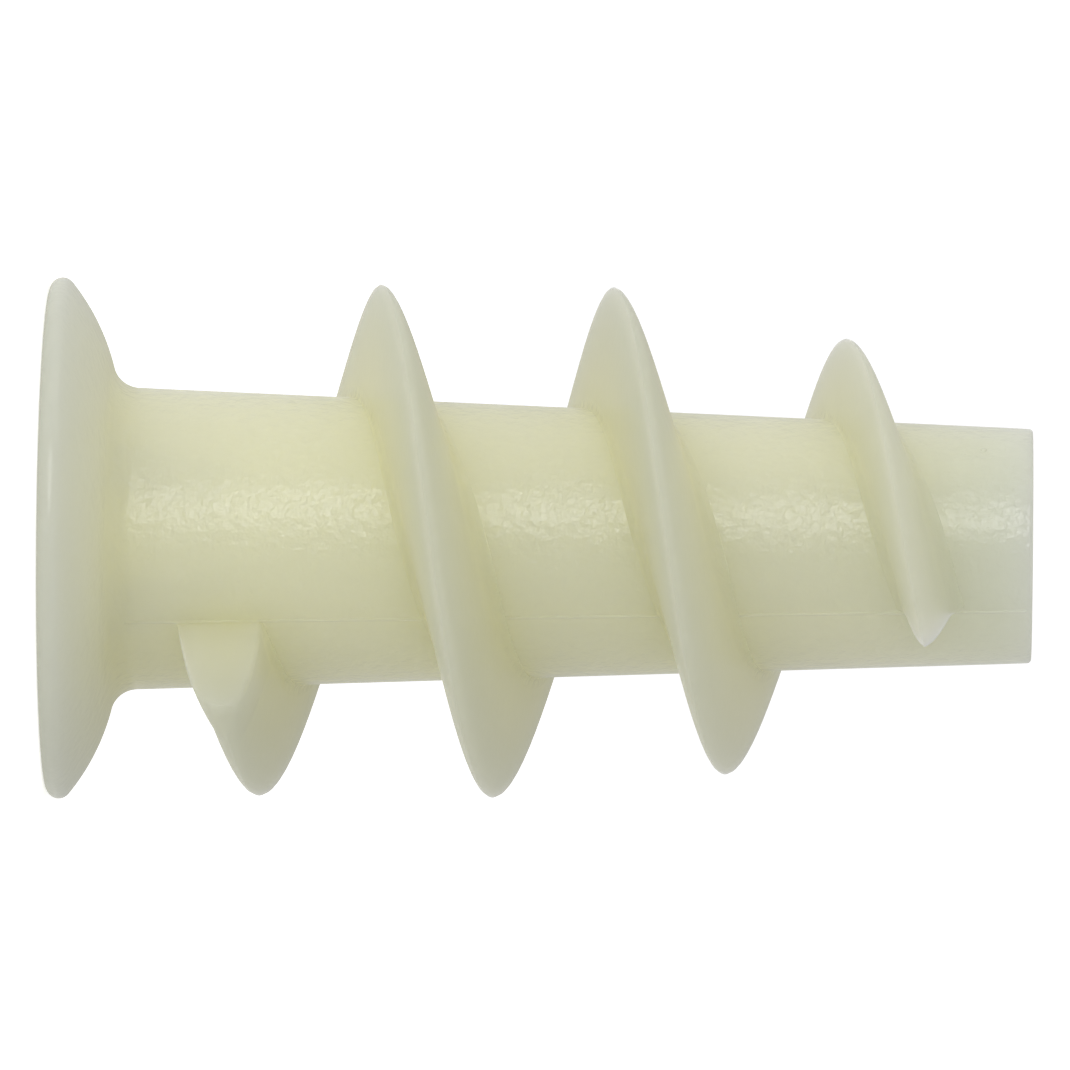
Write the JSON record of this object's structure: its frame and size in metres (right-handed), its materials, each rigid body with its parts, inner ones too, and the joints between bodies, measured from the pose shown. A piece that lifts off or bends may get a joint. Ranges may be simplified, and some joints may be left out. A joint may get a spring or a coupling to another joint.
{
  "type": "drywall anchor",
  "caption": "Short screw-in drywall anchor in natural nylon: round head with a cross recess, tapered hollow shank and one deep coarse right-hand thread.",
  "frame": {"origin": "centre of the head's face, where the anchor stands on its head", "axes": "+Z along the anchor's axis from the face of the head to the tip, +X square to it and 56.5 degrees round from the mould's parting line where the thread starts"},
  "size_m": [0.0122, 0.0122, 0.023],
  "materials": {
    "natural_nylon": "moulded natural nylon, pale cream with a green cast, slightly translucent, satin"
  },
  "bodies": {
    "root": {"anchor": "natural_nylon"}
  },
  "joints": []
}
